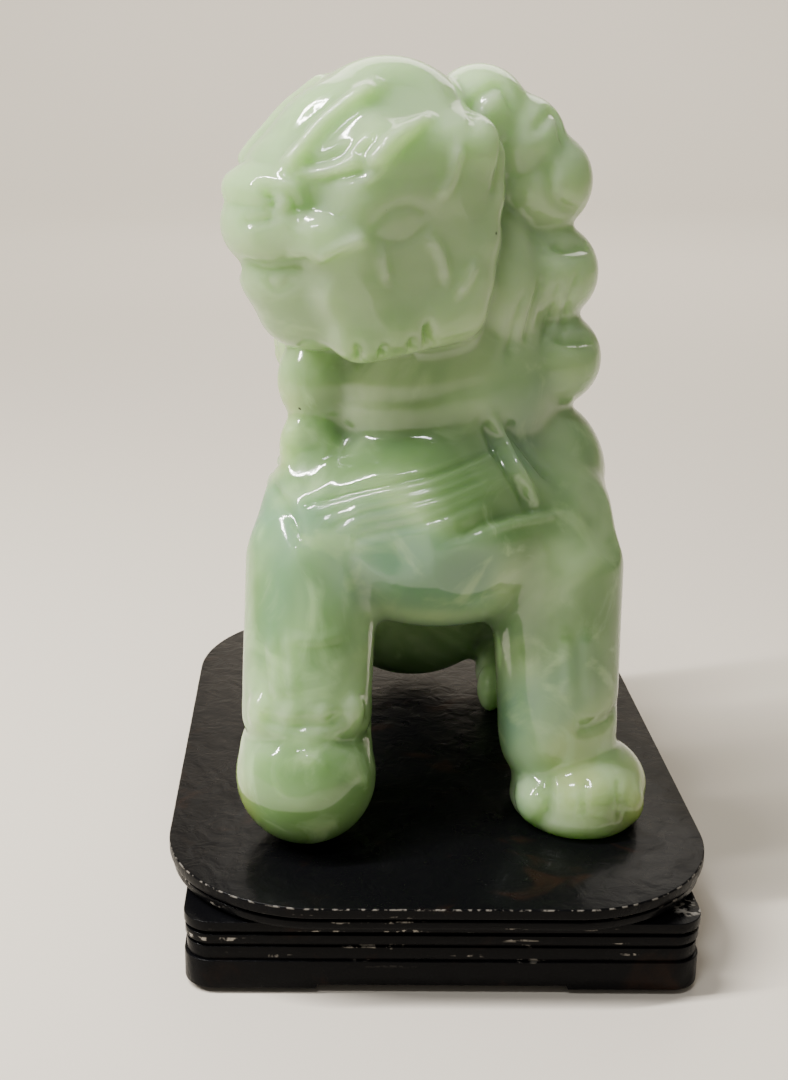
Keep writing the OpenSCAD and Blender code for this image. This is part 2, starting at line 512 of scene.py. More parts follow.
@dataclass
class GuardianLion:
    """The carving: one stone, its head turned to its right and its right paw on a ball.

    The trunk and the head are fused at the coarse grain, the paws, the mane and the tail at the
    middle one, and the face and the toes at the fine one. Each rub is the passes that follow.
    """

    eye: Point
    coarse_voxel: float = 0.62
    coarse_rub: int = 10
    middle_voxel: float = 0.46
    middle_rub: int = 3
    fine_voxel: float = 0.33
    fine_rub: int = 4
    polish_rub: int = 1
    triangle_limit: int = 190_000
    ball_radius: float = 7.1

    def head_lump(self, ahead: float, aside: float, above: float, half: Point,
                  tip: float = 0.0, lean: float = 0.0) -> Lump:
        """Makes a lump in the head's own directions.

        Args:
            ahead: distance of its centre along the nose.
            aside: distance towards the lion's left cheek.
            above: height over the head's centre.
            half: half sizes along the nose, across and up.
            tip: how far its front is tipped down, in degrees.
            lean: turn about the vertical, in degrees.

        Returns:
            The lump.
        """
        return Lump(HEAD.place(ahead, aside, above), half, (0.0, tip, HEAD.turn() + lean))

    def build_trunk(self, clay: Clay) -> None:
        """Adds the chest, the trunk, the neck and the legs.

        Args:
            clay: the stone to add to.
        """
        clay.add(Lump((0, -15.0, 30), (14.5, 11.0, 11.0)))
        clay.add(Lump((0, 2, 28), (16, 22, 11)))
        clay.add(Lump((0, 14, 27), (14.5, 12.5, 11.5)))
        clay.add(Lump((0, -9, 44), (13.6, 11.5, 13)))
        clay.add(Lump((-0.5, 0, 44), (11.5, 11, 15)))
        clay.add(Lump((-3.4, -1.6, 62), (8.4, 5.6, 8.0)))
        for side in (-1, 1):
            clay.add(Lump((side * 10.9, -14, 27.5), (7.9, 9.5, 10.5)))
            clay.add(Lump((side * 11.6, 14.5, 20), (7.6, 10.5, 12.5)))
        clay.add(Lump((11.6, -9.5, 33), (6.6, 8.0, 8.5)))
        clay.add_limb(Limb((12.3, -17.2, 26), 6.8, (13.0, -18.6, 8), 6.2))
        clay.add_limb(Limb((-12.6, -17.6, 27), 6.8, (-13.0, -22.4, 15), 6.7))
        for side in (-1, 1):
            clay.add_limb(Limb((side * 12.2, 15, 15), 7.4, (side * 12.6, 16, 5.5), 5.6))
        clay.add(Lump((0, 15.5, 10), (11, 6.4, 9.4)))

    def build_paws(self, clay: Clay) -> None:
        """Adds the four paws and the ball.

        Args:
            clay: the stone to add to.
        """
        clay.add(Lump((15.3, -19.6, 3.2), (7.0, 7.8, 4.8)))
        clay.add(Lump((15.0, -20.0, 1.5), (6.9, 7.9, 3.2)))
        radius = self.ball_radius
        clay.add(Lump((-13.1, -25.6, radius - 0.4), (radius, radius, radius)))
        clay.add_limb(Limb((-13.0, -22.6, 15.0), 6.6, (-13.1, -25.2, radius), 6.75))
        for side in (-1, 1):
            clay.add(Lump((side * 12.9, 10, 3.2), (5.4, 7.6, 4.6)))

    def build_toes(self, clay: Clay) -> None:
        """Adds the toes of every paw.

        Args:
            clay: the stone to add to.
        """
        for i, x in enumerate((10.4, 13.5, 16.6, 19.4)):
            clay.add(Lump((x, -24.1 + 0.9 * abs(i - 1.5), 2.7), (2.1, 3.5, 2.7)))
        for i, x in enumerate((-17.2, -14.5, -11.7, -9.0)):
            clay.add(Lump((x, -28.3 + 1.1 * abs(i - 1.5), 13.9), (1.7, 2.2, 2.4)))
        for side in (-1, 1):
            for i, x in enumerate((8.9, 11.6, 14.4, 17.0)):
                clay.add(Lump((side * x, 4.9 + 0.6 * abs(i - 1.5), 2.6), (1.55, 3.0, 2.8)))

    def build_head(self, clay: Clay) -> None:
        """Adds the big forms of the head.

        Args:
            clay: the stone to add to.
        """
        clay.add(self.head_lump(0.3, -0.7, 2.4, (10.6, 9.7, 12.0)))
        clay.add(self.head_lump(-5.6, -2.6, 0, (8.8, 8.6, 10.6)))
        clay.add(self.head_lump(4.5, 0, 4.6, (9.6, 7.6, 8.0), tip=28))
        clay.add(self.head_lump(9.0, 0, -1.6, (7.4, 7.4, 5.2)))
        clay.add(self.head_lump(3.0, 0, -7.0, (10.0, 8.6, 5.8)))
        clay.add(self.head_lump(7.0, 0, -8.4, (7.2, 7.0, 4.4)))
        clay.add(self.head_lump(8.5, 0, -8.8, (5.6, 5.6, 4.0)))
        clay.add(self.head_lump(9.6, 0, -5.0, (6.5, 6.3, 5.2)))
        clay.add(self.head_lump(9.4, 0, 4.0, (6.3, 7.0, 4.7), tip=24))
        slab = ((-10.0, 7.2, -8.6, -2.4, 3.3), (-6.2, 8.6, -5.8, -3.0, 3.6), (-2.6, 8.8, -2.2, -3.4, 3.9),
                (1.4, 7.4, 1.8, -3.5, 4.1), (5.2, 5.6, 5.4, -3.4, 4.1))
        for side in (-1, 1):
            for front_z, front, back_z, back, radius in slab:
                clay.add_limb(Limb(
                    HEAD.place(front, side * (10.4 - radius - 0.10 * front), front_z), radius,
                    HEAD.place(back, side * (10.9 - radius), back_z), radius))

    def build_face(self, clay: Clay) -> None:
        """Adds the nose, the lips, the brows, the eyes and the ears.

        Args:
            clay: the stone to add to.
        """
        clay.add(self.head_lump(13.9, 0, 2.5, (3.5, 5.4, 2.7)))
        clay.add(self.head_lump(12.5, 0, -0.6, (5.1, 6.3, 4.6)))
        clay.add(self.head_lump(11.2, 0, -6.6, (3.6, 5.6, 2.6)))
        for side in (-1, 1):
            clay.add(self.head_lump(13.6, side * 3.8, 2.2, (2.3, 2.1, 2.0)))
            clay.add(self.head_lump(9.6, side * 5.2, -1.6, (5.0, 3.6, 3.2)))
            clay.add(self.head_lump(6.4, side * 7.6, 5.8, (4.8, 2.2, 1.9), tip=36))
            clay.add(self.head_lump(4.8, side * 8.4, 0.0, (2.5, 1.6, 1.3), tip=10))
            clay.add(self.head_lump(-3.0, side * 9.0, 5.0, (2.6, 1.4, 3.4), tip=-24))

    def build_mane(self, clay: Clay) -> None:
        """Adds the round locks of the mane.

        Args:
            clay: the stone to add to.
        """
        flank = (
            Lump((3.4, -10.8, 69.8), (5.0, 5.8, 4.8)), Lump((7.4, -10.2, 67.2), (4.8, 5.8, 4.7)),
            Lump((9.6, -9.8, 63.4), (5.5, 6.0, 5.2)), Lump((10.2, -9.6, 54.5), (6.0, 6.4, 5.3)),
            Lump((10.8, -9.4, 45.8), (6.2, 6.8, 5.3)), Lump((5.4, -13.4, 52.6), (4.6, 5.4, 8.6)))
        behind = (
            Lump((-3.0, -1.2, 69.6), (5.6, 5.2, 5.0)), Lump((4.0, -0.6, 66.2), (5.2, 5.0, 5.2)),
            Lump((7.4, 2.2, 59.2), (5.4, 5.2, 5.2)), Lump((8.4, 3.4, 50.6), (5.6, 5.4, 5.4)),
            Lump((9.0, 3.0, 42.2), (5.4, 5.4, 5.2)), Lump((-0.4, 4.8, 62.0), (5.4, 4.6, 5.2)),
            Lump((-0.4, 8.0, 53.6), (5.6, 5.0, 5.2)), Lump((-0.2, 9.6, 45.0), (5.6, 5.0, 5.2)))
        far_side = (
            Lump((-9.6, -1.6, 66.0), (5.2, 5.2, 5.0)), Lump((-8.2, 2.6, 59.0), (5.4, 5.0, 5.2)),
            Lump((-8.6, 3.6, 50.6), (5.6, 5.2, 5.4)), Lump((-9.2, 3.2, 42.2), (5.4, 5.4, 5.2)),
            Lump((-12.2, -3.6, 55.6), (4.8, 5.2, 5.2)), Lump((-11.8, -5.4, 46.6), (5.0, 5.4, 5.4)),
            Lump((-11.4, -13.0, 44.2), (4.8, 4.4, 5.2)), Lump((-12.4, -14.4, 37.4), (3.6, 3.4, 4.6)))
        for lock in flank + behind + far_side:
            clay.add(lock)

    def build_tail(self, clay: Clay) -> None:
        """Adds the bushy tail that lies up over the rump.

        Args:
            clay: the stone to add to.
        """
        clay.add(Lump((0, 23.2, 31), (4.6, 4.2, 8.0)))
        clay.add(Lump((0, 21.4, 39), (5.2, 4.2, 5.6)))
        for side in (-1, 1):
            clay.add(Lump((side * 4.2, 21.6, 35), (3.6, 3.4, 4.6), (0, side * 24, 0)))
            clay.add(Lump((side * 4.0, 22.6, 28), (3.4, 3.2, 4.2), (0, side * 18, 0)))

    def cheek_strokes(self) -> list[Stroke]:
        """Draws the lines that both cheeks share.

        Returns:
            The strokes.
        """
        lines = []
        for board in (Board.LEFT_CHEEK, Board.RIGHT_CHEEK):
            # crease over the nose wing and under the brow
            lines.append(Stroke(board, ((15.8, 4.4), (12.8, 3.8), (9.6, 4.2), (7.0, 5.2)), 0.5, 0.4))
            # lids of the eye
            lines.append(Stroke(board, ((8.2, -0.9), (6.8, 0.7), (4.6, 1.4), (2.2, 0.6)), 0.45, 0.20))
            lines.append(Stroke(board, ((8.0, -1.1), (6.2, -1.7), (4.0, -1.6), (2.0, 0.2)), 0.45, 0.20))
            # hollow behind the ear
            lines.append(Stroke(board, ((-4.6, 1.6), (-5.4, 4.6), (-6.6, 8.0)), 0.8, 0.6))
        return lines

    def brow_strokes(self) -> list[Stroke]:
        """Draws the crests and the lines of the face.

        Returns:
            The strokes.
        """
        return [
            # long crest from the nose to the crown, and the brow's crest beside it
            Stroke(Board.FRONT, ((-15.3, 64.9), (-11.3, 69.4), (-6.9, 72.7)), 0.9, 1.1, Cut.RIDGE),
            Stroke(Board.FRONT, ((-7.4, 65.5), (-5.6, 67.8), (-2.2, 69.9)), 0.7, 0.85, Cut.RIDGE),
            Stroke(Board.FRONT, ((-14.9, 64.4), (-11.5, 65.1), (-8.2, 66.4)), 0.6, 0.5, Cut.RIDGE),
            Stroke(Board.FRONT, ((-13.6, 65.9), (-11.0, 66.4), (-8.6, 67.6)), 0.6, 0.45),
            Stroke(Board.FRONT, ((-9.6, 66.7), (-7.4, 68.3)), 0.5, 0.4, Cut.RIDGE),
            # upper lip, running up into the cheek, and the corner of the mouth
            Stroke(Board.FRONT, ((-19.2, 57.4), (-17.4, 56.7), (-15.2, 56.7), (-12.6, 57.4)), 0.55, 0.45),
            Stroke(Board.FRONT, ((-12.4, 57.5), (-9.9, 58.6), (-7.8, 59.3)), 0.6, 0.7, Cut.RIDGE),
            Stroke(Board.FRONT, ((-17.2, 56.0), (-15.8, 54.7), (-14.2, 55.9)), 0.5, 0.28),
            # cheek hair
            Stroke(Board.FRONT, ((-6.3, 58.2), (-6.2, 57.0), (-5.8, 55.6)), 0.5, 0.5, Cut.RIDGE),
            Stroke(Board.FRONT, ((-2.0, 59.4), (-0.9, 57.7), (-0.4, 55.7)), 0.5, 0.6, Cut.RIDGE),
            Stroke(Board.FRONT, ((2.2, 57.2), (1.6, 55.7), (0.8, 54.3)), 0.5, 0.6, Cut.RIDGE),
            # temple
            Stroke(Board.FRONT, ((0.6, 67.6), (0.0, 65.5), (-0.3, 64.4), (-1.3, 62.9)), 0.6, 0.6,
                   Cut.RIDGE),
            Stroke(Board.RIGHT_CHEEK, ((14.0, 3.6), (9.0, 9.0), (3.6, 12.4)), 1.2, 1.0, Cut.RIDGE),
            Stroke(Board.RIGHT_CHEEK, ((8.0, 4.6), (5.6, 7.2), (1.6, 9.4)), 0.8, 0.7, Cut.RIDGE),
            Stroke(Board.RIGHT_CHEEK, ((17.0, -4.0), (15.0, -4.8), (12.4, -4.4), (10.0, -3.6)), 0.6, 0.7),
            Stroke(Board.RIGHT_CHEEK, ((9.4, -3.4), (7.0, -2.4), (4.6, -1.6)), 0.6, 0.7, Cut.RIDGE),
            Stroke(Board.RIGHT_CHEEK, ((3.4, -2.8), (3.2, -4.2), (2.8, -5.4)), 0.5, 0.5, Cut.RIDGE),
            Stroke(Board.RIGHT_CHEEK, ((-1.6, -1.6), (-2.6, -3.4), (-3.2, -5.2)), 0.5, 0.6, Cut.RIDGE),
            Stroke(Board.RIGHT_CHEEK, ((-1.0, 6.6), (-0.4, 4.4), (0.8, 2.0)), 0.6, 0.6, Cut.RIDGE),
        ]

    def flats(self) -> list[Facet]:
        """Lists the flats that were ground on the head, the chest and the legs.

        Returns:
            The facets.
        """
        front = (
            ((-11.3, 69.2), 5.5, 0.45), ((-4.0, 71.6), 4.6, 0.40), ((-9.6, 65.8), 4.0, 0.30),
            ((-15.9, 63.8), 3.4, 0.35),
            ((-2.6, 57.2), 6.5, 0.45), ((-8.0, 53.2), 5.5, 0.35), ((2.4, 62.6), 4.0, 0.35),
            ((-15.8, 59.6), 3.6, 0.30), ((7.6, 33.6), 5.6, 0.45), ((-7.4, 29.4), 6.5, 0.35),
            ((2.6, 27.4), 6.0, 0.30), ((-15.8, 31.0), 5.6, 0.40), ((15.4, 32.6), 6.2, 0.40),
            ((-13.2, 38.4), 3.6, 0.45), ((-14.0, 6.4), 4.6, 0.20))
        facets = [Facet(Board.FRONT, mark, reach, depth) for mark, reach, depth in front]
        for side in (Board.LEFT, Board.RIGHT):
            facets.append(Facet(side, (12.0, 27.0), 6.0, 0.45))
            facets.append(Facet(side, (-14.0, 30.0), 5.5, 0.40))
        for mark in ((6.0, 8.0), (1.0, -6.0), (7.0, -7.5)):
            facets.append(Facet(Board.RIGHT_CHEEK, mark, 5.5, 0.40))
        return facets

    def beard_strokes(self) -> list[Stroke]:
        """Draws the nicks along the beard's lower edge and the lines of the neck.

        Returns:
            The strokes.
        """
        lines = [
            Stroke(Board.FRONT, ((-8.4, 49.4), (-8.4, 47.8)), 0.42, 1.0),
            Stroke(Board.FRONT, ((-6.0, 49.4), (-6.0, 48.2)), 0.38, 0.8),
            Stroke(Board.FRONT, ((-3.3, 50.0), (-3.3, 48.8)), 0.38, 0.8),
            Stroke(Board.FRONT, ((-1.8, 51.4), (-1.7, 49.2)), 0.46, 1.6),
        ]
        for drop in (0.0, 3.0, 6.2):
            band = ((-11.0, 44.6 - drop), (-3.0, 44.4 - drop), (4.5, 46.2 - drop))
            lines.append(Stroke(Board.FRONT, band, 0.8, 0.15))
        return lines

    def chest_strokes(self) -> list[Stroke]:
        """Draws the folds of the collar and the ground edges of the chest.

        Returns:
            The strokes.
        """
        lines = []
        for drop, depth in ((0.0, 0.5), (1.2, 0.35), (2.3, 0.45), (3.5, 0.3), (4.6, 0.35)):
            lines.append(Stroke(
                Board.FRONT,
                ((-13.0 + drop, 34.2 - drop), (-8.0, 35.6 - drop), (-1.0, 37.3 - drop), (4.6, 39.8 - drop)),
                0.45, depth))
        lines.append(Stroke(Board.FRONT, ((3.4, 42.6), (5.0, 39.4), (7.4, 35.6), (8.2, 33.8)), 0.6, 0.7))
        crest = ((4.6, 42.6), (6.2, 39.2), (8.4, 35.4), (9.2, 33.9))
        lines.append(Stroke(Board.FRONT, crest, 0.45, 0.7, Cut.RIDGE))
        lines.append(Stroke(Board.FRONT, ((5.6, 42.4), (7.8, 39.4), (10.2, 36.6)), 0.6, 0.5))
        lines.append(Stroke(Board.FRONT, ((4.0, 31.7), (7.2, 32.7), (11.2, 33.5)), 0.5, 0.5, Cut.RIDGE))
        lines.append(Stroke(Board.FRONT, ((1.4, 30.6), (5.6, 32.4), (11.0, 33.6)), 0.8, 0.7, Cut.STEP))
        lines.append(Stroke(Board.FRONT, ((-16.6, 36.6), (-14.6, 33.2), (-13.4, 29.8)), 0.6, 0.45))
        return lines

    def mane_strokes(self) -> list[Stroke]:
        """Draws the curls and the strands of the mane.

        Returns:
            The strokes.
        """
        lines = [
            Stroke(Board.FRONT, ((1.6, 69.0), (2.0, 71.6), (4.0, 72.6), (5.4, 70.4)), 0.6, 0.5),
            Stroke(Board.FRONT, ((7.0, 68.6), (8.8, 70.4), (9.8, 67.6)), 0.6, 0.45),
            Stroke(Board.FRONT, ((8.2, 66.4), (9.4, 62.6), (12.4, 61.6)), 0.7, 0.5),
            Stroke(Board.FRONT, ((9.0, 59.0), (10.6, 58.4), (13.0, 58.8)), 0.7, 0.6),
            Stroke(Board.FRONT, ((9.4, 50.6), (11.4, 50.0), (13.6, 50.2)), 0.7, 0.6),
        ]
        for x, top in ((6.0, 54.6), (7.6, 56.0), (9.2, 55.6), (10.8, 56.6)):
            strand = ((x + 1.0, top), (x + 0.1, top - 3.0), (x - 0.5, top - 6.4))
            lines.append(Stroke(Board.FRONT, strand, 0.45, 0.35))
        side_curls = ((-7.4, 62.8, 40), (-7.0, 54.4, 40), (-7.0, 45.8, 40),
                      (2.6, 59.4, 20), (3.6, 50.8, 20), (3.2, 42.4, 20))
        for y, z, start in side_curls:
            for board in (Board.RIGHT, Board.LEFT):
                lines.append(Stroke(board, spiral((y, z), 3.3, 1.4, start), 0.55, 0.45))
        back_curls = ((-0.4, 62.2), (-0.4, 53.8), (-0.2, 45.2), (7.6, 58.0), (-8.0, 58.0),
                      (8.6, 49.6), (-8.6, 49.6))
        for x, z in back_curls:
            way = 1 if x < 0 else -1
            lines.append(Stroke(Board.BACK, spiral((x, z), 3.4, 1.5, 90, way), 0.55, 0.6))
        for x, y in ((3.6, -6.6), (-3.0, -1.2), (-9.4, -2.0), (4.6, -0.6)):
            lines.append(Stroke(Board.TOP, spiral((x, y), 3.2, 1.4, 30), 0.5, 0.45))
        return lines

    def body_strokes(self) -> list[Stroke]:
        """Draws the toes, the cuffs, the haunches, the spine and the tail.

        Returns:
            The strokes.
        """
        lines = []
        for x in (11.6, 15.1, 18.6):
            lines.append(Stroke(Board.FRONT, ((x, 5.4), (x + 0.1, 3.2), (x + 0.1, 1.0)), 0.42, 0.3))
        cuff = ((-18.4, 12.4), (-15.6, 11.2), (-12.0, 11.2), (-9.4, 12.0))
        lines.append(Stroke(Board.FRONT, cuff, 0.6, 0.40))
        wrist = ((-14.6, 20.6), (-12.4, 20.2), (-9.4, 21.0))
        lines.append(Stroke(Board.FRONT, wrist, 0.6, 0.25, Cut.RIDGE))
        for board in (Board.LEFT, Board.RIGHT):
            lines.append(Stroke(board, ((-31.0, 12.4), (-26.0, 11.0), (-20.0, 11.6)), 0.8, 0.5))
        lines.append(Stroke(Board.FRONT, ((-13.6, 7.6), (-12.0, 7.4), (-11.2, 6.2)), 0.5, 0.30, Cut.RIDGE))
        for x in (-16.6, -15.0, 12.4, 14.4):
            shin = ((x, 21.0), (x + 0.2, 18.0), (x + 0.6, 14.0))
            lines.append(Stroke(Board.FRONT, shin, 0.6, 0.30, Cut.RIDGE))
        for board in (Board.LEFT, Board.RIGHT):
            lines.append(Stroke(board, spiral((15.0, 23.0), 5.6, 1.6, -40), 0.7, 0.6))
            lines.append(Stroke(board, ((7.4, 27.0), (5.2, 20.0), (7.2, 12.0), (11.0, 8.6)), 0.9, 0.7))
            lines.append(Stroke(board, ((-4.6, 34.0), (-3.2, 27.0), (-6.4, 20.0)), 0.9, 0.6))
            lines.append(Stroke(board, ((22.6, 13.0), (20.6, 10.0), (21.0, 6.6)), 0.7, 0.5))
        for x in (-1.8, 0.0, 1.8):
            tail_line = ((x * 1.4, 24.5), (x * 1.6, 31.0), (x, 38.0), (x * 0.4, 42.0))
            lines.append(Stroke(Board.BACK, tail_line, 0.5, 0.5))
        for side in (-1, 1):
            for out, z, radius in ((5.0, 35.4, 2.6), (4.6, 28.0, 2.4)):
                curl = spiral((side * out, z), radius, 1.3, 90, -side)
                lines.append(Stroke(Board.BACK, curl, 0.45, 0.5))
        return lines

    def nose_strokes(self) -> list[Stroke]:
        """Draws the nostrils.

        Returns:
            The strokes.
        """
        return [
            Stroke(Board.FRONT, ((-16.9, 63.4), (-16.3, 62.8), (-16.4, 61.9)), 0.42, 0.6),
            Stroke(Board.FRONT, ((-14.7, 63.2), (-14.2, 62.6), (-14.1, 61.8)), 0.42, 0.6),
            Stroke(Board.FRONT, ((-19.0, 60.7), (-17.4, 60.9), (-16.0, 61.2)), 0.5, 0.45),
            Stroke(Board.RIGHT_CHEEK, ((15.6, 2.2), (15.0, 1.0), (14.0, 1.2)), 0.45, 0.5),
        ]

    def flatten_soles(self, piece: bpy.types.Object) -> None:
        """Grinds flat all that is under the soles.

        Args:
            piece: the carving, in millimetres above its soles.
        """
        places = vertex_array(piece.data)
        places[:, 2] = np.maximum(places[:, 2], 0.0)
        write_vertices(piece.data, places)

    def build(self) -> bpy.types.Object:
        """Sculpts the whole carving.

        Returns:
            The finished piece, in metres at its place on the stand.
        """
        clay = Clay("jade_lion")
        self.build_trunk(clay)
        self.build_head(clay)
        clay.fuse(self.coarse_voxel, self.coarse_rub)
        self.build_paws(clay)
        self.build_mane(clay)
        self.build_tail(clay)
        clay.fuse(self.middle_voxel, self.middle_rub)
        self.build_face(clay)
        self.build_toes(clay)
        clay.fuse(self.fine_voxel, self.fine_rub)
        lion = clay.body
        chisel = Chisel(lion, self.eye)
        chisel.grind(self.flats())
        chisel.cut(self.brow_strokes())
        chisel.cut(self.cheek_strokes() + self.beard_strokes() + self.chest_strokes())
        chisel.cut(self.mane_strokes() + self.body_strokes() + self.nose_strokes())
        polish = lion.modifiers.new("polish", "SMOOTH")
        polish.factor = RUB_FACTOR
        polish.iterations = self.polish_rub
        apply_modifiers(lion)
        self.flatten_soles(lion)
        self.reduce(lion)
        places = vertex_array(lion.data)
        places[:, 2] += SOLE_Z_MM
        write_vertices(lion.data, places * MM)
        pick(lion)
        bpy.ops.object.shade_smooth()
        return lion

    def reduce(self, piece: bpy.types.Object) -> None:
        """Brings the carving under its limit of triangles.

        Args:
            piece: the carving.
        """
        piece.data.calc_loop_triangles()
        count = len(piece.data.loop_triangles)
        if count > self.triangle_limit:
            thin = piece.modifiers.new("thin", "DECIMATE")
            thin.ratio = self.triangle_limit / count
            apply_modifiers(piece)


# ------------------------------------------------------------------ finishes


def new_material(name: str) -> tuple[bpy.types.Material, bpy.types.NodeTree, bpy.types.Node]:
    """Starts a node material.

    Args:
        name: its name.

    Returns:
        The material, its node tree and its Principled shader.
    """
    material = bpy.data.materials.new(name)
    material.use_nodes = True
    tree = material.node_tree
    shader = tree.nodes["Principled BSDF"]
    return material, tree, shader


def noise(tree: bpy.types.NodeTree, coords: bpy.types.NodeSocket, scale: float, detail: float = 4.0,
          distortion: float = 0.0) -> bpy.types.NodeSocket:
    """Adds a cloudy pattern.

    Args:
        tree: the material's node tree.
        coords: the coordinates that it reads.
        scale: how many clouds a metre holds.
        detail: levels of finer cloud.
        distortion: how much the clouds are stirred.

    Returns:
        The pattern, from 0 to 1.
    """
    node = tree.nodes.new("ShaderNodeTexNoise")
    node.inputs["Scale"].default_value = scale
    node.inputs["Detail"].default_value = detail
    node.inputs["Distortion"].default_value = distortion
    tree.links.new(coords, node.inputs["Vector"])
    return node.outputs["Fac"]


def ramp(tree: bpy.types.NodeTree, value: bpy.types.NodeSocket, low: float,
         high: float) -> bpy.types.NodeSocket:
    """Stretches a value between two limits to the whole range from 0 to 1.

    Args:
        tree: the material's node tree.
        value: the value.
        low: what becomes 0.
        high: what becomes 1.

    Returns:
        The stretched value.
    """
    node = tree.nodes.new("ShaderNodeMapRange")
    node.interpolation_type = "SMOOTHSTEP"
    node.inputs["From Min"].default_value = low
    node.inputs["From Max"].default_value = high
    tree.links.new(value, node.inputs["Value"])
    return node.outputs["Result"]


@dataclass(frozen=True)
class Pattern:
    """A cloudy pattern, stretched to run from 0 to 1.

    scale is the clouds to a metre, detail the levels of finer cloud, and stir how much they are
    stirred. What is at low becomes 0, and what is at high becomes 1.
    """

    scale: float
    detail: float
    stir: float
    low: float
    high: float

    def draw(self, tree: bpy.types.NodeTree, coords: bpy.types.NodeSocket) -> bpy.types.NodeSocket:
        """Adds the pattern to a material.

        Args:
            tree: the material's node tree.
            coords: the coordinates that it reads.

        Returns:
            The pattern, from 0 to 1.
        """
        return ramp(tree, noise(tree, coords, self.scale, self.detail, self.stir), self.low, self.high)


def product(tree: bpy.types.NodeTree, first: bpy.types.NodeSocket,
            second: bpy.types.NodeSocket | float) -> bpy.types.NodeSocket:
    """Multiplies two values.

    Args:
        tree: the material's node tree.
        first: a socket.
        second: a socket or a number.

    Returns:
        The product.
    """
    node = tree.nodes.new("ShaderNodeMath")
    node.operation = "MULTIPLY"
    tree.links.new(first, node.inputs[0])
    if isinstance(second, bpy.types.NodeSocket):
        tree.links.new(second, node.inputs[1])
    else:
        node.inputs[1].default_value = second
    return node.outputs[0]


def height_of(tree: bpy.types.NodeTree, coords: bpy.types.NodeSocket) -> bpy.types.NodeSocket:
    """Takes the height out of a set of coordinates.

    Args:
        tree: the material's node tree.
        coords: the coordinates.

    Returns:
        The height in metres.
    """
    node = tree.nodes.new("ShaderNodeSeparateXYZ")
    tree.links.new(coords, node.inputs["Vector"])
    return node.outputs["Z"]


def blend_colours(tree: bpy.types.NodeTree, share: bpy.types.NodeSocket, first: Colour,
                  second: Colour) -> bpy.types.NodeSocket:
    """Mixes two colours.

    Args:
        tree: the material's node tree.
        share: how much of the second colour shows.
        first: a colour or a socket.
        second: a colour or a socket.

    Returns:
        The mixed colour.
    """
    node = tree.nodes.new("ShaderNodeMix")
    node.data_type = "RGBA"
    tree.links.new(share, node.inputs["Factor"])
    for socket, colour in ((node.inputs["A"], first), (node.inputs["B"], second)):
        socket = [s for s in node.inputs if s.name == socket.name and s.type == "RGBA"][0]
        if isinstance(colour, bpy.types.NodeSocket):
            tree.links.new(colour, socket)
        else:
            socket.default_value = (*colour, 1.0)
    return [s for s in node.outputs if s.type == "RGBA"][0]


def bump(tree: bpy.types.NodeTree, shader: bpy.types.Node, height: bpy.types.NodeSocket, strength: float,
         distance: float) -> None:
    """Roughens a shader's surface.

    Args:
        tree: the material's node tree.
        shader: the shader.
        height: the pattern of heights.
        strength: how strongly it shows, from 0 to 1.
        distance: the height of the pattern in metres.
    """
    node = tree.nodes.new("ShaderNodeBump")
    node.inputs["Strength"].default_value = strength
    node.inputs["Distance"].default_value = distance
    tree.links.new(height, node.inputs["Height"])
    tree.links.new(node.outputs["Normal"], shader.inputs["Normal"])


@dataclass(frozen=True)
class PolishedJade:
    """Pale, cloudy, translucent jade with a high polish.

    The stone is celadon and milky in clouds, yellow and bluish in places, with milky veins and a
    few dark specks. Between two heights it is painted paler towards the head: painted light, for
    the stronger light that falls on the head than on the legs.
    """

    celadon: Point = (0.145, 0.255, 0.095)
    milky: Point = (0.35, 0.485, 0.255)
    yellow: Point = (0.29, 0.345, 0.085)
    bluish: Point = (0.155, 0.28, 0.165)
    speck: Point = (0.02, 0.03, 0.01)
    clouds: Pattern = Pattern(55.0, 3.0, 0.6, 0.38, 0.66)
    veins: Pattern = Pattern(110.0, 6.0, 2.2, 0.50, 0.72)
    warm: Pattern = Pattern(38.0, 2.0, 0.3, 0.52, 0.72)
    cool: Pattern = Pattern(44.0, 2.0, 1.0, 0.50, 0.70)
    specks: Pattern = Pattern(760.0, 1.0, 0.0, 0.80, 0.83)
    vein_share: float = 0.6
    painted_head_light_from: float = 0.050
    painted_head_light_to: float = 0.072
    painted_head_light_share: float = 0.78
    glow_radius: Point = (1.0, 1.25, 0.7)
    glow_depth: float = 0.009
    roughness: float = 0.09
    refraction: float = 1.62
    shine: float = 0.42
    grain_scale: float = 900.0
    grain_detail: float = 3.0
    grain_strength: float = 0.05
    grain_height: float = 0.0002

    def make(self) -> bpy.types.Material:
        """Returns the finish as a material."""
        material, tree, shader = new_material("polished_jade")
        coords = tree.nodes.new("ShaderNodeTexCoord").outputs["Object"]
        level = height_of(tree, coords)
        # painted light: the jade made paler towards the head, for the stronger light that falls there
        painted_head_light = product(tree, ramp(tree, level, self.painted_head_light_from, self.painted_head_light_to), self.painted_head_light_share)
        colour = blend_colours(tree, self.clouds.draw(tree, coords), self.celadon, self.milky)
        colour = blend_colours(tree, self.warm.draw(tree, coords), colour, self.yellow)
        colour = blend_colours(tree, self.cool.draw(tree, coords), colour, self.bluish)
        veins = product(tree, self.veins.draw(tree, coords), self.vein_share)
        colour = blend_colours(tree, veins, colour, self.milky)
        colour = blend_colours(tree, painted_head_light, colour, self.milky)
        colour = blend_colours(tree, self.specks.draw(tree, coords), colour, self.speck)
        tree.links.new(colour, shader.inputs["Base Color"])
        shader.inputs["Subsurface Weight"].default_value = 1.0
        shader.inputs["Subsurface Radius"].default_value = self.glow_radius
        shader.inputs["Subsurface Scale"].default_value = self.glow_depth
        shader.inputs["Roughness"].default_value = self.roughness
        shader.inputs["IOR"].default_value = self.refraction
        shader.inputs["Specular IOR Level"].default_value = self.shine
        grain = noise(tree, coords, self.grain_scale, self.grain_detail)
        bump(tree, shader, grain, self.grain_strength, self.grain_height)
        return material


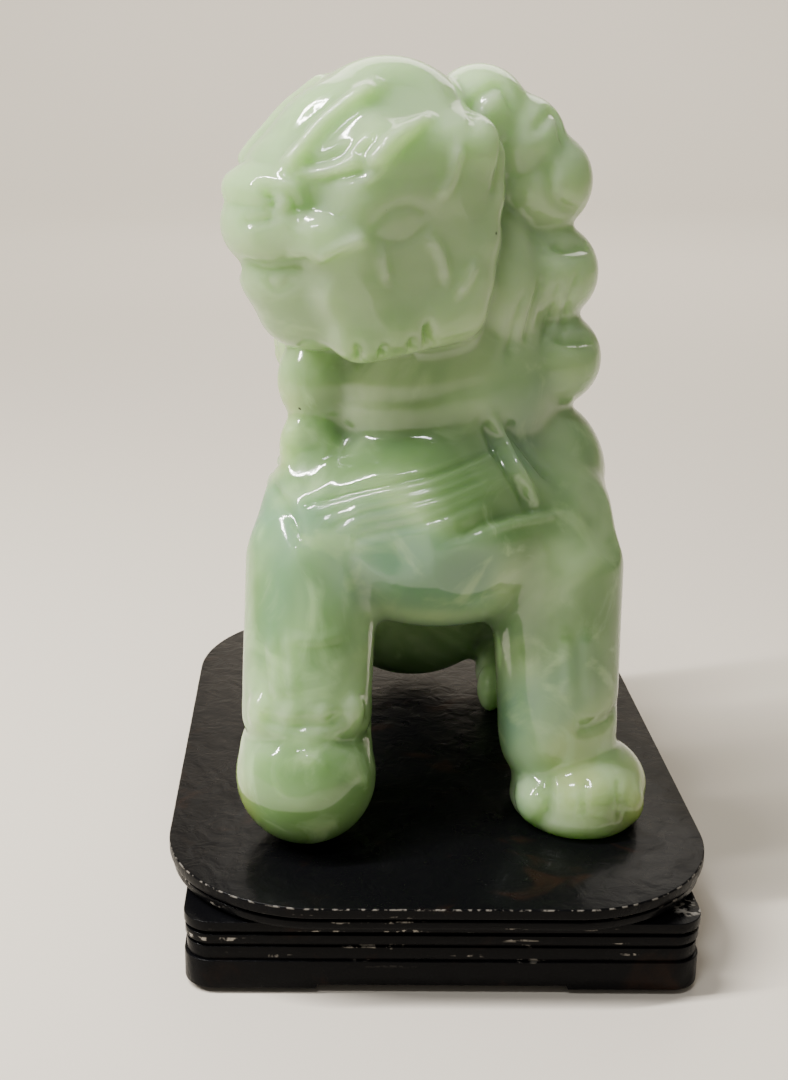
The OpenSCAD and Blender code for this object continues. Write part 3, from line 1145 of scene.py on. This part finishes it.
@dataclass(frozen=True)
class BlackLacquer:
    """Black gloss lacquer, brushed on wood and rubbed brown here and there, with painted glints on its
    edges.

    The rim's painted highlight line is in the stand's top fifth of a millimetre. The mouldings' painted
    glints fade out above the foot frame and under the rim. Heights are in metres: those of the rim and
    under it count down from the stand's top, and those over the foot frame count up from the ground.
    """

    black: Point = (0.0025, 0.0025, 0.0030)
    brown: Point = (0.012, 0.006, 0.004)
    painted_glint: Point = (0.26, 0.24, 0.21)
    rubbed: Pattern = Pattern(160.0, 5.0, 0.8, 0.58, 0.75)
    haze: Pattern = Pattern(340.0, 6.0, 0.5, 0.2, 1.1)
    glint_streaks: Pattern = Pattern(420.0, 3.0, 0.0, 0.60, 0.66)
    glint_flecks: Pattern = Pattern(1500.0, 2.0, 0.0, 0.50, 0.62)
    glint_stretch: Point = (0.25, 0.25, 3.0)
    glints_under_rim: Flat = (0.0004, 0.0008)
    glints_over_foot: Flat = (0.0028, 0.0048)
    rim_lower: Flat = (0.00020, 0.00012)
    rim_upper: Flat = (0.00001, 0.00004)
    rim_highlight_share: float = 0.55
    roughest: float = 0.50
    smoothest: float = 0.24
    refraction: float = 1.38
    shine: float = 0.07
    coat: float = 0.035
    coat_roughness: float = 0.10
    brush: tuple[float, float, float] = (420.0, 6.0, 0.6)
    brush_strength: float = 0.5
    brush_height: float = 0.0004

    def painted_glints(self, tree: bpy.types.NodeTree, coords: bpy.types.NodeSocket) -> bpy.types.NodeSocket:
        """Draws the painted glints along the mouldings and the painted highlight line on the top's rim.

        Args:
            tree: the material's node tree.
            coords: the object's own coordinates.

        Returns:
            How much painted glint shows, from 0 to 1.
        """
        level = height_of(tree, coords)
        lengthways = tree.nodes.new("ShaderNodeMapping")
        lengthways.inputs["Scale"].default_value = self.glint_stretch
        tree.links.new(coords, lengthways.inputs["Vector"])
        # painted glints: broken pale streaks along the mouldings' sides
        glint_streaks = self.glint_streaks.draw(tree, lengthways.outputs["Vector"])
        glint_flecks = self.glint_flecks.draw(tree, coords)
        under_rim = ramp(tree, level, *(STAND_TOP - drop for drop in self.glints_under_rim))
        over_foot = ramp(tree, level, *self.glints_over_foot)
        side_glints = product(tree, product(tree, glint_streaks, glint_flecks), product(tree, under_rim, over_foot))
        # painted highlight: a broken pale line along the top's rim
        over_lower = ramp(tree, level, *(STAND_TOP - drop for drop in self.rim_lower))
        under_upper = ramp(tree, level, *(STAND_TOP - drop for drop in self.rim_upper))
        on_rim = product(tree, over_lower, under_upper)
        rim_highlight = product(tree, product(tree, on_rim, glint_flecks), self.rim_highlight_share)
        both = tree.nodes.new("ShaderNodeMath")
        both.operation = "MAXIMUM"
        tree.links.new(side_glints, both.inputs[0])
        tree.links.new(rim_highlight, both.inputs[1])
        return both.outputs[0]

    def make(self) -> bpy.types.Material:
        """Returns the finish as a material."""
        material, tree, shader = new_material("black_lacquer")
        coords = tree.nodes.new("ShaderNodeTexCoord").outputs["Object"]
        colour = blend_colours(tree, self.rubbed.draw(tree, coords), self.black, self.brown)
        # painted glints and rim highlight, laid pale over the black lacquer
        colour = blend_colours(tree, self.painted_glints(tree, coords), colour, self.painted_glint)
        tree.links.new(colour, shader.inputs["Base Color"])
        spread = tree.nodes.new("ShaderNodeMapRange")
        spread.inputs["To Min"].default_value = self.smoothest
        spread.inputs["To Max"].default_value = self.roughest
        tree.links.new(self.haze.draw(tree, coords), spread.inputs["Value"])
        tree.links.new(spread.outputs["Result"], shader.inputs["Roughness"])
        shader.inputs["IOR"].default_value = self.refraction
        shader.inputs["Specular IOR Level"].default_value = self.shine
        shader.inputs["Coat Weight"].default_value = self.coat
        shader.inputs["Coat Roughness"].default_value = self.coat_roughness
        bump(tree, shader, noise(tree, coords, *self.brush), self.brush_strength, self.brush_height)
        return material


@dataclass(frozen=True)
class DarkFelt:
    """Dark green felt."""

    dark: Point = (0.010, 0.030, 0.016)
    light: Point = (0.030, 0.075, 0.040)
    fibres: tuple[float, float, float] = (3200.0, 6.0, 2.0)
    roughness: float = 0.95
    sheen: float = 0.4
    nap_strength: float = 0.6
    nap_height: float = 0.0002

    def make(self) -> bpy.types.Material:
        """Returns the finish as a material."""
        material, tree, shader = new_material("dark_felt")
        coords = tree.nodes.new("ShaderNodeTexCoord").outputs["Object"]
        fibres = noise(tree, coords, *self.fibres)
        tree.links.new(blend_colours(tree, fibres, self.dark, self.light), shader.inputs["Base Color"])
        shader.inputs["Roughness"].default_value = self.roughness
        shader.inputs["Sheen Weight"].default_value = self.sheen
        bump(tree, shader, fibres, self.nap_strength, self.nap_height)
        return material


@dataclass(frozen=True)
class BareBirch:
    """Turned birch, with its grain along the dowel."""

    pale: Point = (0.48, 0.33, 0.18)
    dark: Point = (0.32, 0.19, 0.09)
    grain: tuple[float, float, float] = (2600.0, 5.0, 0.4)
    grain_stretch: Point = (1.0, 1.0, 0.08)
    roughness: float = 0.6
    grain_strength: float = 0.3
    grain_height: float = 0.0001

    def make(self) -> bpy.types.Material:
        """Returns the finish as a material."""
        material, tree, shader = new_material("bare_birch")
        coords = tree.nodes.new("ShaderNodeTexCoord").outputs["Object"]
        stretch = tree.nodes.new("ShaderNodeMapping")
        stretch.inputs["Scale"].default_value = self.grain_stretch
        tree.links.new(coords, stretch.inputs["Vector"])
        grain = noise(tree, stretch.outputs["Vector"], *self.grain)
        tree.links.new(blend_colours(tree, grain, self.pale, self.dark), shader.inputs["Base Color"])
        shader.inputs["Roughness"].default_value = self.roughness
        bump(tree, shader, grain, self.grain_strength, self.grain_height)
        return material


# ------------------------------------------------------------------ the stand


@dataclass
class Stand:
    """The lacquered boards, as softened copies of the frame's sharp ones, and the pads.

    Corners within same_place metres are one, faces within flat_deg of each other are one flat, and
    edges over sharp_deg are rounded.
    """

    edge_mm: float = 0.16
    edge_steps: int = 3
    same_place: float = 1e-6
    flat_deg: float = 0.5
    sharp_deg: float = 40.0
    shade_deg: float = 35.0
    boards: tuple[str, ...] = ("top_board", "waist_board", "foot_frame")

    def soften(self, node: str, lacquer: bpy.types.Material) -> bpy.types.Object:
        """Copies a board and rounds its edges as brushed lacquer does.

        Args:
            node: the board's name in the frame.
            lacquer: its finish.

        Returns:
            The finished board.
        """
        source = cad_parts[node]
        board = bpy.data.objects.new(node + "_lacquered", source.data.copy())
        bpy.context.scene.collection.objects.link(board)
        pick(board)
        bpy.ops.object.mode_set(mode="EDIT")
        bpy.ops.mesh.select_all(action="SELECT")
        bpy.ops.mesh.remove_doubles(threshold=self.same_place)
        bpy.ops.mesh.dissolve_limited(angle_limit=math.radians(self.flat_deg))
        bpy.ops.object.mode_set(mode="OBJECT")
        round_over = board.modifiers.new("round_over", "BEVEL")
        round_over.width = self.edge_mm * MM
        round_over.segments = self.edge_steps
        round_over.limit_method = "ANGLE"
        round_over.angle_limit = math.radians(self.sharp_deg)
        apply_modifiers(board)
        bpy.ops.object.shade_smooth_by_angle(angle=math.radians(self.shade_deg))
        board.data.materials.clear()
        board.data.materials.append(lacquer)
        return board

    def build(self, lacquer: bpy.types.Material, felt: bpy.types.Material,
              birch: bpy.types.Material) -> None:
        """Makes the boards and dresses the pads and the dowels.

        Args:
            lacquer: the boards' finish.
            felt: the pads' finish.
            birch: the dowels' finish.
        """
        for node in self.boards:
            board = self.soften(node, lacquer)
            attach(board, "stand")
            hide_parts(node)
            log.info("board %s: %d faces", board.name, len(board.data.polygons))
        for node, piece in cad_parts.items():
            finish = felt if node.startswith("felt_pad") else birch if node == "dowel_pins" else None
            if finish:
                for slot in piece.material_slots:
                    slot.material = finish
                log.info("dressed %s", node)


# ------------------------------------------------------------------ studio


@dataclass(frozen=True)
class Lamp:
    """A rectangular lamp: its place, what it shines at, its size in metres, its watts and colour.

    along is the direction that its width follows as nearly as it can.
    """

    name: str
    at: Point
    aim: Point
    size: Flat
    power: float
    colour: Point
    along: Point = (1.0, 0.0, 0.0)


LION_MIDDLE = (0.0, 0.0, 0.045)
LAMPS = (
    Lamp("window", (-0.182, -0.056, 0.295), LION_MIDDLE, (0.26, 0.013), 2.8, (1.0, 0.98, 0.95),
         (0.72, 0.17, 0.67)),
    Lamp("front_window", (-0.10, -0.24, 0.42), LION_MIDDLE, (0.10, 0.03), 0.65, (0.97, 0.99, 1.0),
         (1.0, 0.0, 0.3)),
    Lamp("back_glow", (0.10, 0.50, 0.45), LION_MIDDLE, (0.50, 0.30), 1.5, (1.0, 0.95, 0.85)),
    Lamp("wall_wash", (0.0, 0.5, 0.9), (0.0, 1.5, 0.35), (1.6, 0.5), 22.0, (1.0, 0.97, 0.92)),
)


@dataclass
class Studio:
    """The floor, the lights and the camera."""

    camera_at: Point = (-0.01225, -0.1621, 0.0846)
    look_down_deg: float = 17.4
    look_aside_deg: float = 0.52
    lens_mm: float = 50.0
    sensor_mm: float = 36.0
    shift: float = 0.085
    nearest: float = 0.005
    sweep_width: float = 5.0
    sweep_length: float = 6.0
    sweep_steps: int = 160
    floor_ahead: float = 2.2
    floor_length: float = 3.0
    bend_radius: float = 0.7
    paper_dark: Point = (0.66, 0.60, 0.51)
    paper_light: Point = (0.71, 0.65, 0.57)
    paper_clouds: Flat = (3.0, 3.0)
    paper_roughness: float = 0.9
    paper_shine: float = 0.2
    room_colour: Point = (0.80, 0.76, 0.70)
    room_strength: float = 0.32

    def place_camera(self) -> None:
        """Adds the camera."""
        data = bpy.data.cameras.new("camera")
        data.lens = self.lens_mm
        data.sensor_width = self.sensor_mm
        data.shift_x = self.shift
        data.clip_start = self.nearest
        camera = bpy.data.objects.new("camera", data)
        camera.location = self.camera_at
        tilt = math.radians(90 - self.look_down_deg)
        camera.rotation_euler = (tilt, 0, math.radians(self.look_aside_deg))
        bpy.context.scene.collection.objects.link(camera)
        bpy.context.scene.camera = camera

    def place_backdrop(self) -> None:
        """Adds the plain pale floor, swept up behind into a wall."""
        clear_selection()
        bpy.ops.mesh.primitive_grid_add(x_subdivisions=1, y_subdivisions=self.sweep_steps, size=1.0)
        sweep = bpy.context.object
        sweep.name = "backdrop"
        places = vertex_array(sweep.data)
        run = (places[:, 1] + 0.5) * self.sweep_length
        bend = self.bend_radius * math.pi / 2
        turn = np.clip((run - self.floor_length) / bend, 0.0, 1.0) * math.pi / 2
        rise = np.maximum(run - self.floor_length - bend, 0.0)
        places[:, 0] *= self.sweep_width
        places[:, 1] = (np.minimum(run, self.floor_length) - self.floor_ahead
                        + self.bend_radius * np.sin(turn))
        places[:, 2] = self.bend_radius * (1 - np.cos(turn)) + rise
        write_vertices(sweep.data, places)
        pick(sweep)
        bpy.ops.object.shade_smooth()
        material, tree, shader = new_material("pale_paper")
        coords = tree.nodes.new("ShaderNodeTexCoord").outputs["Object"]
        clouds = noise(tree, coords, *self.paper_clouds)
        colour = blend_colours(tree, clouds, self.paper_dark, self.paper_light)
        tree.links.new(colour, shader.inputs["Base Color"])
        shader.inputs["Roughness"].default_value = self.paper_roughness
        shader.inputs["Specular IOR Level"].default_value = self.paper_shine
        sweep.data.materials.append(material)

    def hang(self, lamp: Lamp) -> None:
        """Adds one lamp.

        Args:
            lamp: the lamp.
        """
        data = bpy.data.lights.new(lamp.name, "AREA")
        data.shape = "RECTANGLE"
        data.size, data.size_y = lamp.size
        data.energy = lamp.power
        data.color = lamp.colour
        light = bpy.data.objects.new(lamp.name, data)
        light.location = lamp.at
        back = (Vector(lamp.at) - Vector(lamp.aim)).normalized()
        wide = (Vector(lamp.along) - Vector(lamp.along).dot(back) * back).normalized()
        light.rotation_euler = Matrix((wide, back.cross(wide), back)).transposed().to_euler()
        bpy.context.scene.collection.objects.link(light)

    def build(self) -> None:
        """Adds the camera, the floor and the lights."""
        self.place_camera()
        self.place_backdrop()
        for lamp in LAMPS:
            self.hang(lamp)
        room = bpy.data.worlds.new("room")
        room.use_nodes = True
        background = room.node_tree.nodes["Background"]
        background.inputs["Color"].default_value = (*self.room_colour, 1.0)
        background.inputs["Strength"].default_value = self.room_strength
        bpy.context.scene.world = room


def main() -> None:
    """Builds the studio, the stand and the lion, and reports each piece."""
    logging.basicConfig(level=logging.INFO, format="%(name)s: %(message)s")
    studio = Studio()
    studio.build()
    Stand().build(BlackLacquer().make(), DarkFelt().make(), BareBirch().make())
    eye = tuple(value / MM for value in studio.camera_at)
    lion = GuardianLion(eye=(eye[0], eye[1], eye[2] - SOLE_Z_MM)).build()
    lion.data.materials.clear()
    lion.data.materials.append(PolishedJade().make())
    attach(lion, "lion")
    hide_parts("lion_carving")
    log.info("lion: %d faces", len(lion.data.polygons))


if __name__ == "__main__":
    main()
